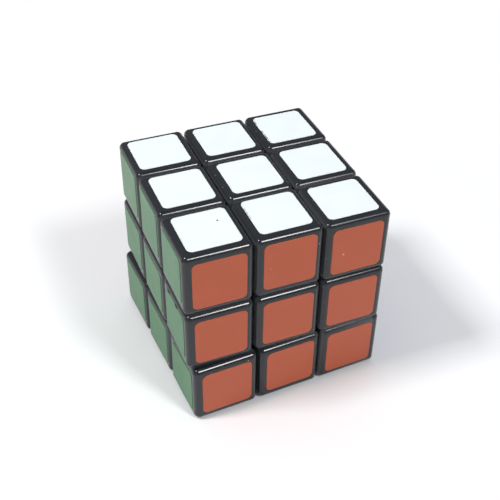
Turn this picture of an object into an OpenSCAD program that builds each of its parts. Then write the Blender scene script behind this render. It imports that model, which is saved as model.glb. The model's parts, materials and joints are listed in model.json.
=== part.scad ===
/* [Puzzle] */
// Width of the whole cube over its black plastic
cube_w = 57; // [56:0.5:60]
// Gap between neighbouring pieces
gap = 0.44; // [0.36:0.02:0.5]
// Radius along every outer edge of a piece
edge_r = 1.7; // [1:0.1:2.2]
// Wall thickness of the hollow pieces
wall = 1.6; // [1.2:0.1:2]
// Turn of the top layer against the middle one, in degrees
top_turn = -0.4; // [-3:0.1:3]
// Turn of the bottom layer against the middle one, in degrees
bottom_turn = 2.5; // [-3:0.1:3]

/* [Stickers] */
// Width of a sticker
sticker_w = 14.6; // [13:0.1:15]
// Radius of a sticker's corners
sticker_r = 1.5; // [0.5:0.1:3]
// Thickness of a sticker
sticker_t = 0.15; // [0.1:0.05:0.3]

/* [Feet] */
// Radius of the ball that divides the blocks from the feet
ball_r = 20; // [19.5:0.1:20.5]
// Radius inside which the feet leave room for the core
hollow_r = 10; // [9.5:0.1:10.5]
// Distance of the feet's flat sides from the middle of the cube
foot_plane = 6; // [5.9:0.1:6.2]

/* [Centres] */
// Radius of the stem under a centre piece
stem_r = 5.4; // [5:0.1:5.6]
// Radius of the cup that holds the spring
cup_r = 3.6; // [3.4:0.1:3.8]
// Thickness of the cup's floor
cup_floor_t = 1.6; // [1.2:0.1:1.8]
// Width of the snap-in cap
cap_w = 13; // [12:0.1:13.5]
// Thickness of the cap's plate
cap_t = 1.6; // [1.2:0.1:2]
// Height of the skirt under the cap
skirt_h = 2.4; // [1.5:0.1:3]

/* [Core] */
// Radius of the core's hub
hub_r = 6; // [5.5:0.1:6.5]
// Radius of each of the core's arms
arm_r = 3.9; // [3:0.1:4.1]
// Distance from the middle of the core to the end of an arm
arm_end = 9; // [8.5:0.1:9.2]

/* [Screws and springs] */
// Radius of a screw's shank
screw_r = 1.25; // [1:0.05:1.4]
// Radius of a screw's head
head_r = 3; // [2.6:0.1:3.2]
// Height of a screw's head
head_h = 1.8; // [1.4:0.1:2.2]
// Distance from the middle of the core to the underside of a screw's head
head_at = 16.5; // [16:0.1:17]
// Thickness of a washer
washer_t = 0.5; // [0.3:0.1:0.8]
// Radius of the spring's turns, measured to the middle of its wire
coil_r = 2.3; // [2.1:0.1:2.6]
// Diameter of the spring's wire
wire_d = 0.6; // [0.4:0.05:0.6]
// Number of turns in a spring
coil_turns = 4; // [3:1:4]

/* [Hidden] */
$fn = 64;
pitch = cube_w / 3;
half_w = cube_w / 2;
inset = gap / 2;

// A block spans the outer third of the cube, or its middle third, on each axis
outer_low = pitch / 2 + inset;
middle_high = pitch / 2 - inset;
foot_low = foot_plane + inset;
foot_high = foot_plane - inset;
// The neck between a block and its foot is a little narrower than the foot
neck_step = 0.4;
neck_high = foot_high - neck_step;
// Radius of the ball that rounds a block's corner, against the edge radius
corner_ball = 1.01;
// How far a cutting shape runs past the surface it cuts
cut = 1;

// Fits inside a centre piece
shank_play = 0.1;
cap_play = 0.1;
ledge_w = 0.8;
stem_low = arm_end + gap;
cup_low = stem_low + cup_floor_t;
cap_low = half_w - cap_t;
pocket_w = cap_w - 2 * ledge_w;
pocket_floor_t = 2;
pocket_low = ball_r + inset + pocket_floor_t;
skirt_t = 1;

// Screw, washer and spring
thread_play = 0.05;
screw_tip = 3;
screw_hole_low = 2.2;
slot_w = 0.8;
slot_l = 1.2 * head_r;
slot_depth = 1;
washer_rim = 0.1;
washer_play = 0.15;
spring_play = 0.03;
spring_low = cup_low + wire_d / 2 + spring_play;
spring_high = head_at - washer_t - wire_d / 2 - spring_play;
rings_per_turn = 8;
wire_sides = 6;
ring_count = coil_turns * rings_per_turn;

// The four sides in order, counter-clockwise from above, with the colour of their stickers
SIDES = ["front", "right", "back", "left"];
SIDE_COLOURS = ["orange", "blue", "red", "green"];
FACES = concat(["top", "bottom"], SIDES);
FACE_COLOURS = concat(["white", "yellow"], SIDE_COLOURS);
LAYERS = ["top", "middle", "bottom"];
QUARTERS = [0 : 3];

// The way out through each side, along X and Y
SIDE_WAYS = [[0, -1], [1, 0], [0, 1], [-1, 0]];

// Pieces that sit low in their layer: place along X, Y and Z, counted in pieces, and the drop
LOW_PIECES = [
  [1, -1, 1, 0.3],
  [1, 0, 1, 0.25]
];

// Stickers that sit off centre: face, column, row, and the shift along the columns and rows
STICKER_SHIFTS = [
  ["top", 1, -1, -0.3, -0.2],
  ["top", 1, 0, -0.1, -0.2],
  ["top", 1, 1, -0.3, -0.2],
  ["top", 0, -1, 0, 0.2],
  ["top", 0, 0, 0.2, -0.3],
  ["top", -1, 1, -0.3, 0.1],
  ["front", 0, 1, 0, 0.5],
  ["front", 0, -1, 0.2, 0.3],
  ["left", 1, 1, 0, 0.5],
  ["left", 1, 0, 0, 0.4],
  ["left", 1, -1, 0, -0.4],
  ["left", 0, 1, 0, 0.7],
  ["left", -1, 1, 0, 0.6],
  ["left", -1, 0, 0, 0.5],
  ["left", -1, -1, 0, 0.4]
];

// The paint of each sticker colour, and of the black plastic and the steel
PAINTS = [
  ["white", [0.95, 0.98, 0.97]],
  ["yellow", [0.85, 0.74, 0.2]],
  ["orange", [0.7, 0.37, 0.29]],
  ["blue", [0.2, 0.3, 0.55]],
  ["red", [0.62, 0.16, 0.17]],
  ["green", [0.48, 0.6, 0.5]]
];
BLACK = [0.17, 0.18, 0.19];
STEEL = [0.7, 0.7, 0.72];

function paint(name) = PAINTS[search([name], PAINTS)[0]][1];
function sticker_shift(face, i, j) =
  let (found = [for (row = STICKER_SHIFTS) if ([row[0], row[1], row[2]] == [face, i, j]) row])
  len(found) == 0 ? [0, 0, 0] : [found[0][3], found[0][4], 0];
function next_side(k) = SIDES[(k + 1) % 4];
function next_way(k) = SIDE_WAYS[(k + 1) % 4];
function layer_height(layer) = 1 - search([layer], LAYERS)[0];
function side_place(way, height) = [way.x, way.y, height];
function edge_place(layer, k) =
  side_place(layer == "middle" ? SIDE_WAYS[k] + next_way(k) : SIDE_WAYS[k], layer_height(layer));
function corner_place(layer, k) = side_place(SIDE_WAYS[k] + next_way(k), layer_height(layer));
function sticker_place(face, i, j) =
  let (k = search([face], SIDES)[0])
  face == "top" ? [i, j, 1]
  : face == "bottom" ? [i, -j, -1]
  : side_place(SIDE_WAYS[k] + i * next_way(k), j);
function drop(place) =
  let (found = [for (row = LOW_PIECES) if ([row[0], row[1], row[2]] == place) row])
  len(found) == 0 ? [0, 0, 0] : [0, 0, -found[0][3]];
function corner_name(layer, k) = str("corner_", layer, "_", SIDES[k], "_", next_side(k));
function edge_name(layer, k) = layer == "middle"
  ? str("edge_", SIDES[k], "_", next_side(k))
  : str("edge_", layer, "_", SIDES[k]);
function side_stickers_name(layer, k) = str(SIDE_COLOURS[k], "_", layer, "_stickers");

// A rectangle with round corners, about the origin
module round_rect(w, h, r) {
  square([w - 2 * r, h], center = true);
  square([w, h - 2 * r], center = true);
  for (x = [-1, 1], y = [-1, 1])
    translate([x * (w / 2 - r), y * (h / 2 - r)])
      circle(r);
}

// What a ball leaves over of the octant round a block's corner
module corner_waste(octant) {
  side = edge_r + cut;
  difference() {
    translate(octant * side / 2)
      cube(side, center = true);
    sphere(corner_ball * edge_r);
  }
}

// A block between two opposite points, with every edge and corner rounded
module rounded_block(low, high) {
  size = high - low;
  ball_at = size / 2 - [edge_r, edge_r, edge_r];
  translate((low + high) / 2)
    difference() {
      intersection() {
        linear_extrude(size.z, center = true)
          round_rect(size.x, size.y, edge_r);
        rotate([90, 0, 0])
          linear_extrude(size.y, center = true)
            round_rect(size.x, size.z, edge_r);
        rotate([90, 0, 90])
          linear_extrude(size.x, center = true)
            round_rect(size.y, size.z, edge_r);
      }
      for (x = [-1, 1], y = [-1, 1], z = [-1, 1])
        translate([x * ball_at.x, y * ball_at.y, z * ball_at.z])
          corner_waste([x, y, z]);
    }
}

module box_between(low, high) {
  translate(low)
    cube(high - low);
}

// The part of the shell between the core's room and the dividing ball that a box holds
module foot(low, high) {
  intersection() {
    difference() {
      sphere(ball_r - inset);
      sphere(hollow_r);
    }
    box_between(low, high);
  }
}

// The sealed hollow inside a block, clear of the dividing ball by one wall
module hollow(low, high) {
  margin = [wall, wall, wall];
  difference() {
    box_between(low + margin, high - margin);
    sphere(ball_r + inset + wall);
  }
}

// Puts a piece modelled on the top face on another face
module on_face(face) {
  side = search([face], SIDES)[0];
  if (face == "top")
    children();
  else if (face == "bottom")
    rotate([180, 0, 0])
      children();
  else
    rotate([90, 0, 90 * side])
      children();
}

// Turns a piece with its layer
module in_layer(layer) {
  turn = layer == "top" ? top_turn : layer == "bottom" ? bottom_turn : 0;
  rotate([0, 0, turn])
    children();
}

// A corner piece at the right, back and top, moved to its own corner
module corner_piece(layer, k) {
  low = [outer_low, outer_low, outer_low];
  high = [half_w, half_w, half_w];
  flip = layer == "top" ? [0, 0, 90 * k - 90] : [180, 0, 90 * k];
  color(BLACK)
    in_layer(layer)
      translate(drop(corner_place(layer, k)))
        rotate(flip)
          difference() {
            union() {
              rounded_block(low, high);
              foot([foot_low, foot_low, foot_low], [ball_r, ball_r, ball_r]);
            }
            hollow(low, high);
          }
}

// An edge piece at the back and top, moved to its own edge
module edge_piece(layer, k) {
  low = [-middle_high, outer_low, outer_low];
  high = [middle_high, half_w, half_w];
  turns = [
    ["top", [0, 0, 90 * k + 180]],
    ["bottom", [180, 0, 90 * k]],
    ["middle", [0, 90, 90 * k - 90]]
  ];
  flip = turns[search([layer], turns)[0]][1];
  color(BLACK)
    in_layer(layer)
      translate(drop(edge_place(layer, k)))
        rotate(flip)
          difference() {
            union() {
              difference() {
                rounded_block(low, high);
                scoops();
              }
              foot([-foot_high, foot_low, foot_low], [foot_high, ball_r, ball_r]);
            }
            hollow(low, high);
          }
}

// The two hollows under an edge piece, where its neighbouring corners' feet lie
module scoops() {
  intersection() {
    sphere(ball_r + inset);
    union() {
      box_between([neck_high, 0, 0], [pitch, ball_r + cut, ball_r + cut]);
      box_between([-pitch, 0, 0], [-neck_high, ball_r + cut, ball_r + cut]);
    }
  }
}

// A centre piece: block, stem, spring cup and the pocket under its cap
module centre_piece(face) {
  cap_hole_w = cap_w + 2 * cap_play;
  color(BLACK)
    in_layer(face)
      on_face(face)
        difference() {
          union() {
            difference() {
              rounded_block([-middle_high, -middle_high, outer_low], [middle_high, middle_high, half_w]);
              sphere(ball_r + inset);
            }
            translate([0, 0, stem_low])
              cylinder(r = stem_r, h = pocket_low - pocket_floor_t / 2 - stem_low);
          }
          translate([0, 0, stem_low - cut])
            cylinder(r = screw_r + shank_play, h = cup_floor_t + 2 * cut);
          translate([0, 0, cup_low])
            cylinder(r = cup_r, h = pocket_low - cup_low + cut);
          translate([0, 0, pocket_low])
            linear_extrude(cap_low - pocket_low + cap_t / 2)
              round_rect(pocket_w, pocket_w, sticker_r);
          translate([0, 0, cap_low])
            linear_extrude(cap_t + cut)
              round_rect(cap_hole_w, cap_hole_w, sticker_r);
        }
}

// The cap that closes a centre piece: a plate with a skirt that snaps into the pocket
module cap(face) {
  skirt_w = pocket_w - 2 * cap_play;
  hole_w = skirt_w - 2 * skirt_t;
  color(BLACK)
    in_layer(face)
      on_face(face) {
        translate([0, 0, cap_low])
          linear_extrude(cap_t)
            round_rect(cap_w, cap_w, sticker_r);
        translate([0, 0, cap_low - skirt_h])
          linear_extrude(skirt_h + cap_t / 2)
            difference() {
              round_rect(skirt_w, skirt_w, sticker_r);
              square(hole_w, center = true);
            }
      }
}

// The six-armed core with a blind screw hole in each arm
module core() {
  // Each arm starts inside the hub, where its whole root is covered
  arm_low = sqrt(hub_r * hub_r - arm_r * arm_r) - cut / 2;
  color(BLACK)
    difference() {
      union() {
        sphere(hub_r);
        for (face = FACES)
          on_face(face)
            translate([0, 0, arm_low])
              cylinder(r = arm_r, h = arm_end - arm_low);
      }
      for (face = FACES)
        on_face(face)
          translate([0, 0, screw_hole_low])
            cylinder(r = screw_r + thread_play, h = arm_end);
    }
}

// One screw with a cross slot in its head
module screw() {
  head_top = head_at + head_h;
  difference() {
    union() {
      translate([0, 0, screw_tip])
        cylinder(r = screw_r, h = head_at + head_h / 2 - screw_tip);
      translate([0, 0, head_at])
        cylinder(r = head_r, h = head_h);
    }
    for (turn = [0, 90])
      rotate([0, 0, turn])
        translate([-slot_l / 2, -slot_w / 2, head_top - slot_depth])
          cube([slot_l, slot_w, slot_depth + cut]);
  }
}

module screws() {
  color(STEEL)
    for (face = FACES)
      on_face(face)
        screw();
}

module washers() {
  color(STEEL)
    for (face = FACES)
      on_face(face)
        translate([0, 0, head_at - washer_t])
          difference() {
            cylinder(r = head_r + washer_rim, h = washer_t);
            translate([0, 0, -cut])
              cylinder(r = screw_r + washer_play, h = washer_t + 2 * cut);
          }
}

// One point on the spring's wire: ring i along the coil, corner j around the wire
function wire_point(i, j) =
  let (
    around = 360 * i / rings_per_turn,
    side = 360 * j / wire_sides,
    r = coil_r + wire_d / 2 * cos(side),
    z = spring_low + (spring_high - spring_low) * i / ring_count + wire_d / 2 * sin(side)
  )
  [r * cos(around), r * sin(around), z];

// The least gap between neighbouring turns, measured between points on the wire's middle line
function wire_middle(i) = (wire_point(i, 0) + wire_point(i, wire_sides / 2)) / 2;
turn_gaps = [
  for (i = [0 : ring_count - rings_per_turn - 1], d = [-1 : 1])
    if (i + rings_per_turn + d <= ring_count)
      norm(wire_middle(i) - wire_middle(i + rings_per_turn + d)) - wire_d
];
echo(least_spring_gap = min(turn_gaps));

// Two triangles that close one side of the wire between two rings
function wire_side(i, j) =
  let (
    a = i * wire_sides + j,
    b = i * wire_sides + (j + 1) % wire_sides
  )
  [[a, b, b + wire_sides], [a, b + wire_sides, a + wire_sides]];

// A fan of triangles that closes one end of the wire
function wire_end(first, flipped) = [
  for (j = [1 : wire_sides - 2])
    flipped ? [first, first + j + 1, first + j] : [first, first + j, first + j + 1]
];

module spring() {
  points = [for (i = [0 : ring_count], j = [0 : wire_sides - 1]) wire_point(i, j)];
  sides = [for (i = [0 : ring_count - 1], j = [0 : wire_sides - 1]) each wire_side(i, j)];
  last = ring_count * wire_sides;
  polyhedron(points, concat(sides, wire_end(0, true), wire_end(last, false)));
}

module springs() {
  color(STEEL)
    for (face = FACES)
      on_face(face)
        spring();
}

// One sticker on a face, at column i and row j
module sticker(face, i, j) {
  translate(drop(sticker_place(face, i, j)))
    on_face(face)
      translate([i * pitch, j * pitch, half_w] + sticker_shift(face, i, j))
        linear_extrude(sticker_t)
          round_rect(sticker_w, sticker_w, sticker_r);
}

module centre_sticker(f) {
  color(paint(FACE_COLOURS[f]))
    in_layer(FACES[f])
      sticker(FACES[f], 0, 0);
}

// The eight stickers round the centre of the top or the bottom face
module ring_stickers(face, colour) {
  color(paint(colour))
    in_layer(face)
      for (i = [-1 : 1], j = [-1 : 1])
        if (i != 0 || j != 0)
          sticker(face, i, j);
}

// One layer's stickers on a side, without the side's centre
module side_stickers(layer, k) {
  row = layer_height(layer);
  color(paint(SIDE_COLOURS[k]))
    in_layer(layer)
      for (i = [-1 : 1])
        if (i != 0 || row != 0)
          sticker(SIDES[k], i, row);
}

core();
screws();
washers();
springs();
for (face = FACES) {
  centre_piece(face);
  cap(face);
}
for (k = QUARTERS, layer = LAYERS) {
  edge_piece(layer, k);
  side_stickers(layer, k);
}
for (k = QUARTERS, layer = ["top", "bottom"])
  corner_piece(layer, k);
for (f = [0 : 5])
  centre_sticker(f);
ring_stickers("top", "white");  // white_stickers
ring_stickers("bottom", "yellow");  // yellow_stickers
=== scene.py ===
# %% [markdown]
# A twisty puzzle cube is twenty-six black plastic blocks held round a hidden core, and each outer face of
# a block carries one coloured vinyl sticker. The blocks arrive as finished solids at their real size and
# place. This lesson dresses them: it finishes the plastic and the steel, cuts a thin sticker for every
# sticker solid, winds the springs, and lights the puzzle on a pale table the way it was photographed.

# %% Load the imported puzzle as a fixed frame
import json
import math
from collections import namedtuple

import bmesh
import bpy
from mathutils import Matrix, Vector, noise

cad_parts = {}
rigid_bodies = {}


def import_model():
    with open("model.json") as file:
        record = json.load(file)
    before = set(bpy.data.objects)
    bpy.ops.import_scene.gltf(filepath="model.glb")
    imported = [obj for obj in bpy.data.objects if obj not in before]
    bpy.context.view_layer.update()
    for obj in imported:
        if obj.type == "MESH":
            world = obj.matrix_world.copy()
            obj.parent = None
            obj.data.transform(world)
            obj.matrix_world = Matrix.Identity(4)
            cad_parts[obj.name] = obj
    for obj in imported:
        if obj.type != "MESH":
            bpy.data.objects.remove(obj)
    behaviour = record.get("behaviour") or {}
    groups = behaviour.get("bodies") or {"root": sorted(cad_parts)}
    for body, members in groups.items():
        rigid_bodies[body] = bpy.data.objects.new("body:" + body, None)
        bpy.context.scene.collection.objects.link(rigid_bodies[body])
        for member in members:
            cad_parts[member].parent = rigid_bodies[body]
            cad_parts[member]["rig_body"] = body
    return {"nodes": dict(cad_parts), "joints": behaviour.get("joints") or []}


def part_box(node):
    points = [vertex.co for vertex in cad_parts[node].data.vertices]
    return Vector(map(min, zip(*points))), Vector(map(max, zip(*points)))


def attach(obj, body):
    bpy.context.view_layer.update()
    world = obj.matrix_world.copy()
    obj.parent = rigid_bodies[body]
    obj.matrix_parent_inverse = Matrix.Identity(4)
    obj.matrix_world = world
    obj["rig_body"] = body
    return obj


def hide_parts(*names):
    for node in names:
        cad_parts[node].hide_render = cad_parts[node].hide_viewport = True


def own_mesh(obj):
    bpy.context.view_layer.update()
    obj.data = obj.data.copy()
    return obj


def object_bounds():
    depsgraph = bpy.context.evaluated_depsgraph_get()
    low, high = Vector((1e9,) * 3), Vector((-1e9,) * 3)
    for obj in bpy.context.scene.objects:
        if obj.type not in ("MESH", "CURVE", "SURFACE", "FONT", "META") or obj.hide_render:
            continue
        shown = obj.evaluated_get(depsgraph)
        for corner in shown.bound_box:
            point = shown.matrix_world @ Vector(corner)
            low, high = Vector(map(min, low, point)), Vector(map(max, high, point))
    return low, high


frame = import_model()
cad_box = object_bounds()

MM = 0.001
scene = bpy.context.scene

# %% [markdown]
# Every other measure hangs on one: the pitch, the distance from one block to the next. It could be typed
# in, but the top centre block already holds it, because its upper face lies one and a half blocks above
# the middle of the puzzle.

# %% Measure the pitch of the blocks
FACE_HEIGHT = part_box("centre_top")[1].z
PITCH = FACE_HEIGHT / 1.5
TABLE_HEIGHT = cad_box[0].z
print(f"pitch {PITCH / MM:.2f} mm, table at {TABLE_HEIGHT / MM:.2f} mm")

# %% [markdown]
# The camera stands in front, a little to the left and well above, so that the top, front and left faces
# show. It could be placed by eye, but the sticker corners of the photograph fix it: two angles, a
# distance, the point it aims at, a slight roll and the lens.

# %% Stand the camera where the photographer stood
VIEW_AZIMUTH = math.radians(-22.982)
VIEW_ELEVATION = math.radians(39.033)
VIEW_ROLL = math.radians(0.899)
VIEW_DISTANCE = 259.748 * MM
VIEW_AIM = Vector((1.584, 2.004, 0.0)) * MM
LENS = 64.054
NEAREST_SEEN = 10 * MM


def photo_camera():
    """A camera on the viewing angle of the photograph, for a square frame."""
    lens = bpy.data.cameras.new("camera")
    lens.lens = LENS
    lens.clip_start = NEAREST_SEEN
    camera = bpy.data.objects.new("camera", lens)
    ahead = math.cos(VIEW_ELEVATION)
    back = Vector((
        math.sin(VIEW_AZIMUTH) * ahead,
        -math.cos(VIEW_AZIMUTH) * ahead,
        math.sin(VIEW_ELEVATION),
    ))
    camera.location = VIEW_AIM + back * VIEW_DISTANCE
    camera.rotation_euler = (-back).to_track_quat("-Z", "Y").to_euler()
    camera.rotation_euler.rotate_axis("Z", VIEW_ROLL)
    scene.collection.objects.link(camera)
    return camera


scene.camera = photo_camera()
scene.view_settings.view_transform = "Standard"
print("camera at", [round(c / MM, 1) for c in scene.camera.location], "mm")

# %% [markdown]
# A finish is a small circuit of shader nodes. Wiring each one by hand hides the idea behind the plumbing,
# so this class wraps one socket and lets Python's own operators add the Math nodes. Colours go through a
# Mix node instead, because a Math node would turn them grey.

# %% Write shader maths as expressions
class Flow:
    """What flows out of one shader socket. Arithmetic on it adds Math nodes to its tree."""

    def __init__(self, tree, socket=None):
        self.tree = tree
        self.socket = socket

    def node(self, kind, settings=None, sockets=None, out=0):
        """Any node: its type, the settings to make first, then the values or links of its sockets."""
        made = self.tree.nodes.new(kind)
        for name, value in (settings or {}).items():
            if name == "stops":
                lay_stops(made.color_ramp, value)
            else:
                setattr(made, name, value)
        for key, value in (sockets or {}).items():
            if isinstance(value, Flow):
                self.tree.links.new(value.socket, made.inputs[key])
            else:
                made.inputs[key].default_value = value
        return Flow(self.tree, made.outputs[out] if made.outputs else None)

    def also(self, out):
        """Another output of the same node."""
        return Flow(self.tree, self.socket.node.outputs[out])

    def math(self, operation, first, second=0.0):
        """A Math node on one or two values."""
        return self.node("ShaderNodeMath", {"operation": operation}, {0: first, 1: second})

    def __add__(self, other):
        return self.math("ADD", self, other)

    __radd__ = __add__

    def __sub__(self, other):
        return self.math("SUBTRACT", self, other)

    def __rsub__(self, other):
        return self.math("SUBTRACT", other, self)

    def __mul__(self, other):
        return self.math("MULTIPLY", self, other)

    __rmul__ = __mul__

    def __abs__(self):
        return self.math("ABSOLUTE", self)

    def __or__(self, other):
        return self.math("MAXIMUM", self, other)

    def ease(self, low, high):
        """Nought at low, one at high, and a smooth rise between them."""
        ends = {"Value": self, "From Min": low, "From Max": high}
        return self.node("ShaderNodeMapRange", {"interpolation_type": "SMOOTHSTEP"}, ends)

    def mix(self, first, second):
        """From the first colour to the second as this value goes from nought to one."""
        return self.node("ShaderNodeMix", {"data_type": "RGBA"}, {0: self, 6: first, 7: second}, out=2)

    def parts(self):
        """The three numbers of this vector."""
        first = self.node("ShaderNodeSeparateXYZ", {}, {0: self}, out="X")
        return first, first.also("Y"), first.also("Z")

    def against(self, operation, vector):
        """One number from this vector and a fixed one: their DISTANCE or their DOT_PRODUCT."""
        settings = {"operation": operation}
        return self.node("ShaderNodeVectorMath", settings, {0: self, 1: vector}, out="Value")

    def noise(self, size, detail=2.0):
        """A soft random pattern of about this size, from nought to one."""
        return self.node("ShaderNodeTexNoise", {}, {"Vector": self, "Scale": 1 / size, "Detail": detail})

    def patches(self, size, span, detail=2.0):
        """Patches of about this size: one where the noise is over the span, nought where it is under."""
        return self.noise(size, detail).ease(*span)

    def stretched(self, turn, scale):
        """The same place, turned and then scaled, for streaks and scratches."""
        return self.node("ShaderNodeMapping", {}, {"Vector": self, "Rotation": turn, "Scale": scale})

    def bump(self, strength, depth):
        """A surface that rises by the depth where this value is one."""
        return self.node("ShaderNodeBump", {}, {"Strength": strength, "Distance": depth, "Height": self})


def lay_stops(ramp, stops):
    """Sets a colour ramp's stops, given in rising order."""
    while len(ramp.elements) < len(stops):
        ramp.elements.new(1.0)
    for element, (position, colour) in zip(ramp.elements, stops):
        element.position = position
        element.color = colour


print("shader maths ready")

# %% [markdown]
# Every finish of the puzzle starts with an empty tree and ends in one principled surface, the shader that
# serves plastic, steel and film alike. Most solids of the frame have the right shape already, so they only
# need a finish put on them. Each of these jobs could be written out each time, but as short helpers they
# let a finish be read as a list of what it shows.

# %% Start, close and assign a finish
def shade(red, green, blue):
    """A colour without transparency."""
    return (red, green, blue, 1.0)


def start_material(name):
    """A material with an empty tree, and the flow that its first node comes from."""
    material = bpy.data.materials.new(name)
    material.use_nodes = True
    material.node_tree.nodes.clear()
    return material, Flow(material.node_tree)


def surface(start, sockets):
    """Closes a tree with one principled surface."""
    skin = start.node("ShaderNodeBsdfPrincipled", {}, sockets)
    start.node("ShaderNodeOutputMaterial", {}, {"Surface": skin})


def dress(nodes, material):
    """Puts a finish on solids of the frame."""
    for node in nodes:
        frame["nodes"][node].data.materials.clear()
        frame["nodes"][node].data.materials.append(material)
    print(material.name, "on", len(nodes), "nodes")


print("helpers ready")

# %% [markdown]
# The puzzle was photographed on white. The table could be one glowing sheet, but black blocks need their
# soft shadows, so it is pale card near the puzzle and turns plain white further off. Only the camera, the
# gloss and glass see that white, so it adds no light of its own.

# %% Lay the table
TABLE_SIZE = 40.0
TABLE_WHITE = shade(0.93, 0.935, 0.94)
TABLE_ROUGHNESS = 0.75
TABLE_SPECULAR = 0.2
SHADOW_REACH = (85 * MM, 150 * MM)


def in_sight(start):
    """One for rays from the camera, from gloss and through glass, nought for rays that carry light."""
    ray = start.node("ShaderNodeLightPath", out="Is Camera Ray")
    return ray | ray.also("Is Glossy Ray") | ray.also("Is Transmission Ray")


def table_top():
    """Pale card near the puzzle, where the shadows lie, and plain white further off."""
    material, start = start_material("table_top")
    place = start.node("ShaderNodeTexCoord", out="Object")
    card = start.node("ShaderNodeBsdfPrincipled", {}, {
        "Base Color": TABLE_WHITE,
        "Roughness": TABLE_ROUGHNESS,
        "Specular IOR Level": TABLE_SPECULAR,
    })
    white = start.node("ShaderNodeEmission", {}, {"Strength": 1.0})
    far = place.against("DISTANCE", Vector((0, 0, TABLE_HEIGHT))).ease(*SHADOW_REACH)
    both = start.node("ShaderNodeMixShader", {}, {0: in_sight(start) * far, 1: card, 2: white})
    start.node("ShaderNodeOutputMaterial", {}, {"Surface": both})
    return material


def pale_table():
    """A flat pale table under the puzzle."""
    mesh = bpy.data.meshes.new("table")
    sheet = bmesh.new()
    bmesh.ops.create_grid(sheet, x_segments=1, y_segments=1, size=TABLE_SIZE / 2)
    bmesh.ops.translate(sheet, verts=sheet.verts, vec=(0, 0, TABLE_HEIGHT))
    sheet.to_mesh(mesh)
    sheet.free()
    table = bpy.data.objects.new("table", mesh)
    scene.collection.objects.link(table)
    mesh.materials.append(table_top())


pale_table()
print("table", TABLE_SIZE, "m wide")

# %% [markdown]
# Black gloss only shows what it mirrors, so the room counts as much as the lamps. It could be a panorama,
# but an even grey is enough, with a darker side behind on the right, where the rims turn black. Just over
# the horizon it looks white, as the table does, so that the table runs out without an edge.

# %% Light the room
# Each grey: how far up the direction it comes from points, and its colour
ROOM = [
    (0.00, shade(0.32, 0.325, 0.34)),
    (0.30, shade(0.31, 0.315, 0.33)),
    (0.62, shade(0.31, 0.315, 0.335)),
    (0.85, shade(0.28, 0.285, 0.30)),
]
DARK_SIDE = Vector((0.85, 0.52, 0.0))
DARK_SPREAD = (0.35, 0.85)
DARK_GREY = shade(0.20, 0.205, 0.22)
PALE_HORIZON = (0.06, 0.16)
WHITE = shade(1.0, 1.0, 1.0)


def bright_room():
    """A world of even grey light with one darker side, and a white horizon where the table ends."""
    world = bpy.data.worlds.new("bright_room")
    world.use_nodes = True
    world.node_tree.nodes.clear()
    start = Flow(world.node_tree)
    direction = start.node("ShaderNodeTexCoord", out="Generated")
    height = direction.parts()[2]
    glow = start.node("ShaderNodeValToRGB", {"stops": ROOM}, {0: height})
    room = direction.against("DOT_PRODUCT", DARK_SIDE).ease(*DARK_SPREAD).mix(glow, DARK_GREY)
    pale = in_sight(start) * (1 - height.ease(*PALE_HORIZON))
    light = start.node("ShaderNodeBackground", {}, {"Color": pale.mix(room, WHITE)})
    start.node("ShaderNodeOutputWorld", {}, {"Surface": light})
    return world


scene.world = bright_room()
print("room in", len(ROOM), "greys")

# %% [markdown]
# Thin white lines run along the front rim of most blocks: the picture of one window, front and right,
# with a dimmer curtain beside it. A white dot sits on each front left corner, the picture of a lamp on
# the left. Their shadows on the table give their heights. A point of light would cast hard shadows and
# leave no line on a rim, so each is an area lamp, whose strength is given as the level it adds to a white
# card that faces it. A wide ceiling fills the rest.

# %% Hang the lamps
def softbox(name, direction, distance, size, level, in_gloss=True):
    """A rectangular lamp that faces the middle of the puzzle."""
    lamp = bpy.data.lights.new(name, "AREA")
    lamp.shape = "RECTANGLE"
    lamp.size, lamp.size_y = size
    lamp.energy = level * (math.pi * distance) ** 2
    holder = bpy.data.objects.new(name, lamp)
    outward = Vector(direction).normalized()
    holder.location = outward * distance
    holder.rotation_euler = outward.to_track_quat("Z", "Y").to_euler()
    holder.visible_glossy = in_gloss
    scene.collection.objects.link(holder)
    print(name, "level", level)


softbox("window", direction=(0.290, -0.627, 0.726), distance=2.5, size=(0.42, 0.66), level=0.38)
softbox("curtain", direction=(0.405, -0.575, 0.715), distance=2.5, size=(0.17, 0.66), level=0.035)
softbox("desk_lamp", direction=(-0.57, 0.055, 0.815), distance=0.9, size=(0.18, 0.18), level=0.58)
softbox(
    "ceiling_bounce",
    direction=(0.10, 0.35, 0.93),
    distance=1.2,
    size=(1.2, 1.2),
    level=0.20,
    in_gloss=False,
)

# %% [markdown]
# The blocks are injection-moulded black plastic with a polished face. One glossy black would look like
# wet paint, because real polish is never perfect: the skin has a faint orange peel, hands leave dull
# smudges and fine streaks, grey dust sits deep in the gaps, and lint clings to the rims. The grey in the
# gaps is also painted light, which lifts them above the black of their shade. Noises of different sizes
# give the marks, a depth below the faces says where the dust and painted light and the lint lie, and a
# few pale chips are placed where the photograph shows them.

# %% Mix the moulded black plastic
PLASTIC_BLACK = shade(0.016, 0.0185, 0.022)
PLASTIC_WORN = shade(0.034, 0.038, 0.043)
PLASTIC_IOR = 1.46
POLISH = 0.10
PEEL_SIZE = 0.7 * MM
PEEL_STRENGTH = 0.02
PEEL_DEPTH = 0.02 * MM
SMUDGES = {"size": 14 * MM, "span": (0.42, 0.68), "detail": 4.0}
SMUDGE_DULLS = 0.05
STREAKS = {"size": 9 * MM, "span": (0.66, 0.74), "detail": 3.0}
STREAK_TURN = (0.4, 0.2, 0.7)
STREAK_STRETCH = (1, 16, 16)
STREAK_PALES = 0.5
STREAK_DULLS = 0.12
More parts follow.
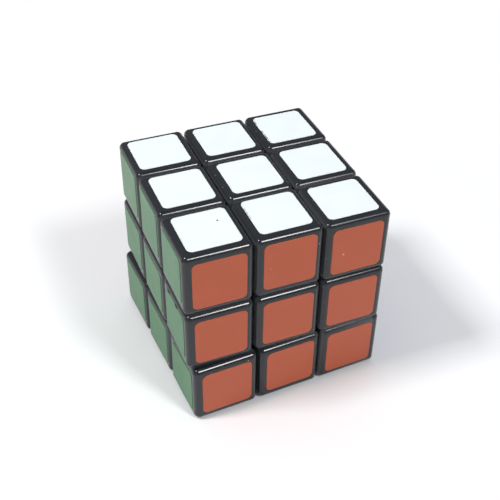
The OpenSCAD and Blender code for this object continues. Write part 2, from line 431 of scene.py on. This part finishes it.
# Grey deep in the gaps: dust, and painted light that lifts the shade there
DUST_AND_PAINTED_LIGHT_GREY = shade(0.085, 0.090, 0.098)
DUST_AND_PAINTED_LIGHT_DEPTH = (0.5 * MM, 1.6 * MM)
LINT = {"size": 0.45 * MM, "span": (0.72, 0.78), "detail": 1.0}
LINT_DEPTH = 0.3 * MM
LINT_PALES = 0.35
CHIP_GREY = shade(0.45, 0.46, 0.47)
CHIP_DULLS = 0.4
# Each chip: its middle and its radius
CHIPS = [
    (Vector((7.65, -28.55, 23.25)) * MM, 0.18 * MM),
    (Vector((-11.55, -29.03, -11.24)) * MM, 0.16 * MM),
    (Vector((-22.45, -29.51, -11.34)) * MM, 0.12 * MM),
]


def spots(place, points):
    """One inside a few small round spots, nought elsewhere."""
    mask = None
    for point, radius in points:
        spot = 1 - place.against("DISTANCE", point).ease(radius / 2, radius)
        mask = spot if mask is None else mask | spot
    return mask


def black_plastic():
    """Polished black plastic with its marks of use, and painted light in its gaps."""
    material, start = start_material("moulded_black_plastic")
    place = start.node("ShaderNodeTexCoord", out="Object")
    smudges = place.patches(**SMUDGES)
    streaks = place.stretched(STREAK_TURN, STREAK_STRETCH).patches(**STREAKS)
    x, y, z = place.parts()
    reach = abs(x) | abs(y) | abs(z)
    # Dust and painted light: one deeper than this depth below the faces
    dust_and_painted_light = 1 - reach.ease(FACE_HEIGHT - DUST_AND_PAINTED_LIGHT_DEPTH[1], FACE_HEIGHT - DUST_AND_PAINTED_LIGHT_DEPTH[0])
    rims = 1 - reach.ease(FACE_HEIGHT - LINT_DEPTH, FACE_HEIGHT)
    chips = spots(place, CHIPS) | (rims * place.patches(**LINT) * LINT_PALES)
    clean = (streaks * STREAK_PALES).mix(PLASTIC_BLACK, PLASTIC_WORN)
    surface(start, {
        "Base Color": chips.mix(dust_and_painted_light.mix(clean, DUST_AND_PAINTED_LIGHT_GREY), CHIP_GREY),
        "IOR": PLASTIC_IOR,
        "Roughness": POLISH + SMUDGE_DULLS * smudges + STREAK_DULLS * streaks + CHIP_DULLS * chips,
        "Normal": place.noise(PEEL_SIZE).bump(PEEL_STRENGTH, PEEL_DEPTH),
    })
    return material


PLASTIC_KINDS = ("core", "corner_", "edge_", "centre_", "cap_")
dress([node for node in frame["nodes"] if node.startswith(PLASTIC_KINDS)], black_plastic())

# %% [markdown]
# Screws, washers and springs are plain zinc-plated steel, hidden inside. A single grey would do where
# nothing shows, but a puzzle that comes apart should look right in the hand. Plating is bright and cloudy,
# so the colour and the roughness both follow one noise, and a fine grain roughens it.

# %% Mix the plated steel
STEEL_BRIGHT = shade(0.62, 0.62, 0.60)
STEEL_DULL = shade(0.42, 0.42, 0.42)
STEEL_ROUGHNESS = 0.24
CLOUD_SIZE = 2.5 * MM
CLOUD_DULLS = 0.2
GRAIN_SIZE = 0.2 * MM
GRAIN_STRENGTH = 0.2
GRAIN_DEPTH = 0.02 * MM


def plated_steel():
    """Cloudy zinc plating."""
    material, start = start_material("plated_steel")
    place = start.node("ShaderNodeTexCoord", out="Object")
    cloud = place.noise(CLOUD_SIZE, detail=5.0)
    surface(start, {
        "Base Color": cloud.mix(STEEL_DULL, STEEL_BRIGHT),
        "Metallic": 1.0,
        "Roughness": STEEL_ROUGHNESS + CLOUD_DULLS * cloud,
        "Normal": place.noise(GRAIN_SIZE).bump(GRAIN_STRENGTH, GRAIN_DEPTH),
    })
    return material


steel = plated_steel()
dress(["screws", "washers"], steel)

# %% [markdown]
# A used sticker shows it at its edges: two white ones are scuffed grey along the left, and along the top
# of a green one short dark stretches are painted shadow of its edge. The scuffs could be cut into the mesh,
# but they are too shallow to see from the side, so they are painted along a stretch of one edge, as the
# shadow is. Each sticker mesh carries a "place" for this: from -1 to 1 across and up the film, and the
# sticker's number, which counts from the middle of its face.

# %% Mark the worn edges and the painted edge shadow
SCUFF_GREY = shade(0.27, 0.28, 0.30)
SCUFF_PALE = shade(0.45, 0.47, 0.49)
SCUFF_EDGE = (0.925, 0.965)
# Each mark: its colour, the sticker's number, the edge, and where along that edge it starts and ends
SCUFFS = {
    "white": [
        (SCUFF_GREY, 4, "left", 0.47, 0.98),
        (SCUFF_GREY, 4, "left", -0.95, 0.07),
        (SCUFF_PALE, -3, "left", -0.11, 0.78),
    ],
}
FLAKES = {"size": 0.7 * MM, "span": (0.38, 0.58)}
# Painted shadow of a sticker's cut edge: dark stretches, with a duller gloss
EDGE_SHADOW_DARK = shade(0.010, 0.018, 0.014)
EDGE_SHADOW_SPAN = (0.90, 0.94)
EDGE_SHADOW_DULLS = 0.5
# Each painted shadow: its colour, the sticker's number, the edge, and where along that edge it starts and
# ends
PAINTED_EDGE_SHADOWS = {
    "green": [
        (EDGE_SHADOW_DARK, 1, "top", -0.76, -0.40),
        (EDGE_SHADOW_DARK, 1, "top", 0.08, 0.44),
    ],
}
RAGGED_SIZE = 0.9 * MM
RAGGED_DEPTH = 0.16
SAME_NUMBER = (0.1, 0.4)
END_FADE = 0.1


def worn_and_shadowed(place, number, side, low, high, edge, ragged=0.0):
    """One along a stretch of one edge of one sticker, nought elsewhere."""
    across, up, count = place.parts()
    outward, along = {"left": (0 - across, up), "top": (up, across)}[side]
    here = 1 - abs(count - number).ease(*SAME_NUMBER)
    stretch = along.ease(low, low + END_FADE) * (1 - along.ease(high - END_FADE, high))
    return here * stretch * (outward + ragged).ease(*edge)


def scuffed(name, place, spot, colour):
    """A film's colour with its flaky scuffs."""
    for mark, *stretch in SCUFFS.get(name, []):
        scuff = worn_and_shadowed(place, *stretch, SCUFF_EDGE) * spot.patches(**FLAKES)
        colour = scuff.mix(colour, mark)
    return colour


def edge_shadowed(name, place, spot, colour, roughness):
    """A film's colour and roughness with its painted edge shadows, ragged and duller."""
    for mark, *stretch in PAINTED_EDGE_SHADOWS.get(name, []):
        ragged = (spot.noise(RAGGED_SIZE) - 0.5) * RAGGED_DEPTH
        edge_shadow = worn_and_shadowed(place, *stretch, EDGE_SHADOW_SPAN, ragged)
        colour = edge_shadow.mix(colour, mark)
        roughness = roughness + EDGE_SHADOW_DULLS * edge_shadow
    return colour, roughness


# The count takes in the painted edge shadows too
print("worn edges:", sum(len(marks) for table in (SCUFFS, PAINTED_EDGE_SHADOWS) for marks in table.values()))

# %% [markdown]
# The stickers are die-cut vinyl: a coloured film with a soft gloss. A flat colour would look printed, so
# the film gets faint blotches, a fine peel, hairline scratches and a little grime rubbed into its cut edge.
# The scuffs and the painted edge shadow go on top, then the few specks that the photograph shows.

# %% Mix the vinyl
VINYL = {
    "white": shade(0.82, 0.885, 0.89),
    "yellow": shade(0.82, 0.58, 0.03),
    "orange": shade(0.448, 0.080, 0.0245),
    "blue": shade(0.02, 0.07, 0.32),
    "red": shade(0.32, 0.014, 0.018),
    "green": shade(0.05, 0.187, 0.070),
}
FILM_ROUGHNESS = 0.36
FILM_PEEL_SIZE = 0.5 * MM
FILM_PEEL_STRENGTH = 0.1
FILM_PEEL_DEPTH = 0.02 * MM
BLOTCHES = {"size": 6 * MM, "span": (0.3, 0.7), "detail": 3.0}
BLOTCH_SHADE = 0.97
BLOTCH_DULLS = 0.04
HAIRS = {"size": 12 * MM, "span": (0.68, 0.73)}
HAIR_TURN = (0.5, 0.9, 0.3)
HAIR_STRETCH = (1, 30, 30)
HAIR_DULLS = 0.06
GRIME_BROWN = shade(0.10, 0.095, 0.09)
GRIME = {"size": 1.2 * MM, "span": (0.45, 0.75)}
GRIME_EDGE = (0.955, 1.0)
GRIME_STRENGTH = 0.18
DARK_SPECK = shade(0.06, 0.05, 0.05)
PALE_SPECK = shade(0.64, 0.34, 0.26)
# Each colour's specks: what colour they are, then the middle and the radius of each
SPECKS = {
    "white": (DARK_SPECK, [(Vector((-15.33, -16.56, 28.65)) * MM, 0.36 * MM)]),
    "orange": (PALE_SPECK, [
        (Vector((14.87, -28.75, 17.76)) * MM, 0.36 * MM),
        (Vector((-5.57, -28.65, 19.05)) * MM, 0.16 * MM),
    ]),
}


def vinyl(name):
    """The film in one colour, with its marks of use and any painted edge shadow."""
    material, start = start_material(name + "_vinyl")
    spot = start.node("ShaderNodeTexCoord", out="Object")
    place = start.node("ShaderNodeAttribute", {"attribute_name": "place"}, out="Vector")
    across, up, _ = place.parts()
    blotches = spot.patches(**BLOTCHES)
    hairs = spot.stretched(HAIR_TURN, HAIR_STRETCH).patches(**HAIRS)
    deeper = shade(*(BLOTCH_SHADE * c for c in VINYL[name][:3]))
    grime = (abs(across) | abs(up)).ease(*GRIME_EDGE) * spot.patches(**GRIME) * GRIME_STRENGTH
    colour = grime.mix(blotches.mix(deeper, VINYL[name]), GRIME_BROWN)
    roughness = FILM_ROUGHNESS + BLOTCH_DULLS * blotches + HAIR_DULLS * hairs
    colour = scuffed(name, place, spot, colour)
    # Painted shadow along the top edge of one green sticker
    colour, roughness = edge_shadowed(name, place, spot, colour, roughness)
    if name in SPECKS:
        speck_colour, points = SPECKS[name]
        colour = spots(spot, points).mix(colour, speck_colour)
    surface(start, {
        "Base Color": colour,
        "Roughness": roughness,
        "Normal": spot.noise(FILM_PEEL_SIZE, detail=1.0).bump(FILM_PEEL_STRENGTH, FILM_PEEL_DEPTH),
    })
    return material


vinyls = {name: vinyl(name) for name in VINYL}
print("vinyl colours:", ", ".join(vinyls))

# %% [markdown]
# A sticker solid in the frame says where one sticker lies. It could be copied by hand fifty-four times,
# but its place can be read: its faces group by block, its longest side wall gives the direction across,
# and its extent gives the middle. So a sticker that was put on askew stays askew.

# %% Read where each sticker lies
SIDES = {
    "top": Vector((0, 0, 1)),
    "bottom": Vector((0, 0, -1)),
    "front": Vector((0, -1, 0)),
    "right": Vector((1, 0, 0)),
    "back": Vector((0, 1, 0)),
    "left": Vector((-1, 0, 0)),
}
SIDE_OF = {
    "white": "top",
    "yellow": "bottom",
    "orange": "front",
    "blue": "right",
    "red": "back",
    "green": "left",
}
WALL_LEAN = 0.1
STICKERS_IN_A_ROW = 3
StickerPlace = namedtuple("StickerPlace", "number middle across up out half thickness")


def span(points, direction):
    """How far some points reach along a direction, from the lowest to the highest."""
    heights = [point.dot(direction) for point in points]
    return min(heights), max(heights)


def read_place(mesh, faces, outward):
    """The place of the sticker that these faces belong to."""
    out = max(faces, key=lambda face: face.normal.dot(outward)).normal.normalized()
    walls = [face for face in faces if abs(face.normal.dot(out)) < WALL_LEAN]
    wall = max(walls, key=lambda face: face.area).normal.normalized()
    turns = [wall, out.cross(wall), -wall, -out.cross(wall)]
    level = Vector((1, 0, 0)) if outward.z else Vector((0, 0, 1)).cross(outward)
    across = max(turns, key=lambda turn: turn.dot(level))
    up = out.cross(across)
    points = [mesh.vertices[i].co for face in faces for i in face.vertices]
    left, right = span(points, across)
    low, high = span(points, up)
    under, over = span(points, out)
    middle = across * (left + right) / 2 + up * (low + high) / 2 + out * under
    column, row = round(middle.dot(across) / PITCH), round(middle.dot(up) / PITCH)
    number = column + STICKERS_IN_A_ROW * row
    return StickerPlace(number, middle, across, up, out, (right - left) / 2, over - under)


def sticker_places(node, outward):
    """Where every sticker in a node lies."""
    mesh = frame["nodes"][node].data
    groups = {}
    for face in mesh.polygons:
        flat = face.center - outward * face.center.dot(outward)
        groups.setdefault(tuple(round(c / PITCH) for c in flat), []).append(face)
    return [read_place(mesh, groups[key], outward) for key in sorted(groups)]


sample = sticker_places("white_stickers", SIDES["top"])
print("stickers on the white ring:", len(sample), "half width", round(sample[0].half / MM, 2), "mm")

# %% [markdown]
# One sticker is a stack of rings with the same outline. The outline is a square with round corners, and
# each ring sits a little further in and up, so that the cut edge rolls over as pressed film does. Adding
# a bevel to a flat plate would do too, but rings can wobble a little, as an edge cut by hand does.

# %% Draw one sticker
CORNER_RADIUS = 1.5 * MM
LEAST_RADIUS = 0.2 * MM
CORNER_STEPS = 8
SIDE_STEPS = 26
# Each ring: how far it is drawn in, and its height as a share of the film's thickness
RINGS = [
    (0.0, 0.0),
    (0.01 * MM, 0.35),
    (0.04 * MM, 0.68),
    (0.09 * MM, 0.90),
    (0.17 * MM, 1.0),
    (0.30 * MM, 1.0),
    (1.5 * MM, 1.0),
    (4.2 * MM, 1.0),
]
CUT_WOBBLE = 0.03 * MM
WOBBLE_SIZE = 1.1 * MM
WOBBLE_REACH = 0.3 * MM


def ring_outline(half, inset):
    """Points round a square with round corners, drawn in by the inset, as complex numbers."""
    radius = max(CORNER_RADIUS - inset, LEAST_RADIUS)
    reach = half - inset - radius
    points = []
    for quarter in range(4):
        turn = 1j ** quarter
        for step in range(CORNER_STEPS + 1):
            angle = math.pi / 2 * step / CORNER_STEPS
            corner = complex(reach + radius * math.cos(angle), reach + radius * math.sin(angle))
            points.append(turn * corner)
        for step in range(1, SIDE_STEPS):
            points.append(turn * complex(reach * (1 - 2 * step / SIDE_STEPS), half - inset))
    return points


def add_ring(film, layer, sticker, inset, share):
    """Adds one ring of a sticker's points, and writes their place on them."""
    ring = []
    for at in ring_outline(sticker.half, inset):
        spot = sticker.middle + sticker.across * at.real + sticker.up * at.imag
        if inset < WOBBLE_REACH:
            inward = (sticker.middle - spot).normalized()
            spot = spot + inward * abs(CUT_WOBBLE * noise.noise(spot / WOBBLE_SIZE))
        vert = film.verts.new(spot + sticker.out * sticker.thickness * share)
        vert[layer] = Vector((at.real / sticker.half, at.imag / sticker.half, sticker.number))
        ring.append(vert)
    return ring


def add_sticker(film, layer, sticker):
    """Adds one sticker to a mesh under construction."""
    rings = [add_ring(film, layer, sticker, inset, share) for inset, share in RINGS]
    count = len(rings[0])
    for lower, upper in zip(rings, rings[1:]):
        for i in range(count):
            j = (i + 1) % count
            film.faces.new((lower[i], lower[j], upper[j], upper[i])).smooth = True
    film.faces.new(rings[-1]).smooth = True
    back = film.faces.new(list(reversed(rings[0])))
    for edge in back.edges:
        edge.smooth = False


print("points round one sticker:", len(ring_outline(sample[0].half, 0.0)))

# %% [markdown]
# On the real puzzle each sticker is put on alone, and each could be an object of its own. But all stickers
# of one node ride on the same body, so they become one piece, which is quicker to handle. The piece
# replaces the sticker solids, which stay in the frame for the physics, and it takes its colour from the
# node's name.

# %% Cut all the stickers
def sticker_piece(node):
    """The piece that stands for one sticker node: all its stickers, on the body that carries them."""
    colour_name = node.split("_")[0]
    film = bmesh.new()
    layer = film.verts.layers.float_vector.new("place")
    stickers = sticker_places(node, SIDES[SIDE_OF[colour_name]])
    for sticker in stickers:
        add_sticker(film, layer, sticker)
    mesh = bpy.data.meshes.new(node + "_film")
    film.to_mesh(mesh)
    film.free()
    mesh.materials.append(vinyls[colour_name])
    piece = bpy.data.objects.new(node + "_film", mesh)
    scene.collection.objects.link(piece)
    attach(piece, frame["nodes"][node]["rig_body"])
    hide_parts(node)
    return len(stickers)


STICKER_NODES = [node for node in frame["nodes"] if node.endswith(("_stickers", "_sticker"))]
cut = sum(sticker_piece(node) for node in STICKER_NODES)
print("stickers cut:", cut, "in", len(STICKER_NODES), "pieces")

# %% [markdown]
# A coil spring under each screw head pulls its centre block inward. The spring solid of the frame is
# coarse, so each one is wound again as a round wire. A curve with a bevel would be quicker, but here the
# wire is built as a mesh.

# %% Wind one spring
COIL_RADIUS = 2.3 * MM
WIRE_RADIUS = 0.3 * MM
COIL_TURNS = 4
COIL_STEPS = 24
WIRE_SIDES = 10
COIL_INNER_END = 11.37 * MM
COIL_OUTER_END = 15.67 * MM


def wire_ring(wire, centre, out, axle):
    """Adds the points of one cross-section of the wire."""
    ring = []
    for k in range(WIRE_SIDES):
        lean = 2 * math.pi * k / WIRE_SIDES
        spoke = out * math.cos(lean) + axle * math.sin(lean)
        ring.append(wire.verts.new(centre + spoke * WIRE_RADIUS))
    return ring


def wound_wire(name, axle):
    """A mesh of one spring round its axle, as a closed tube of round wire."""
    across = axle.orthogonal().normalized()
    over = axle.cross(across)
    wire = bmesh.new()
    steps = COIL_TURNS * COIL_STEPS
    rings = []
    for step in range(steps + 1):
        angle = 2 * math.pi * step / COIL_STEPS
        out = across * math.cos(angle) + over * math.sin(angle)
        height = COIL_INNER_END + (COIL_OUTER_END - COIL_INNER_END) * step / steps
        rings.append(wire_ring(wire, axle * height + out * COIL_RADIUS, out, axle))
    for lower, upper in zip(rings, rings[1:]):
        for k in range(WIRE_SIDES):
            n = (k + 1) % WIRE_SIDES
            wire.faces.new((lower[k], upper[k], upper[n], lower[n])).smooth = True
    wire.faces.new(rings[0])
    wire.faces.new(list(reversed(rings[-1])))
    bmesh.ops.recalc_face_normals(wire, faces=wire.faces)
    mesh = bpy.data.meshes.new(name)
    wire.to_mesh(mesh)
    wire.free()
    return mesh


print("wire length", round(COIL_TURNS * 2 * math.pi * COIL_RADIUS / MM, 1), "mm")

# %% [markdown]
# On the real puzzle the floor of the centre's cup lifts towards the washer, and the spring between them
# gets shorter. Bending every turn would take a simulation. Here each spring rides on the core at its rest
# length: the share of its length that it would keep at the centre's full lift is worked out, but not used.

# %% Fit the six springs
CUP_FLOOR = 11.04 * MM
WASHER_FACE = 16.0 * MM


def fitted_spring(side, axle):
    """One spring on the core, at its rest length."""
    piece = bpy.data.objects.new(side + "_spring", wound_wire(side + "_spring", axle))
    piece.data.materials.append(steel)
    scene.collection.objects.link(piece)
    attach(piece, "core")
    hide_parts("springs")
    joint = next(joint for joint in frame["joints"] if joint["name"] == side + "_centre_lift")
    keep = 1 - max(joint["range_m"]) / (WASHER_FACE - CUP_FLOOR)
    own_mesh(piece)
    return piece


springs = [fitted_spring(side, axle) for side, axle in SIDES.items()]
print("springs fitted:", len(springs))
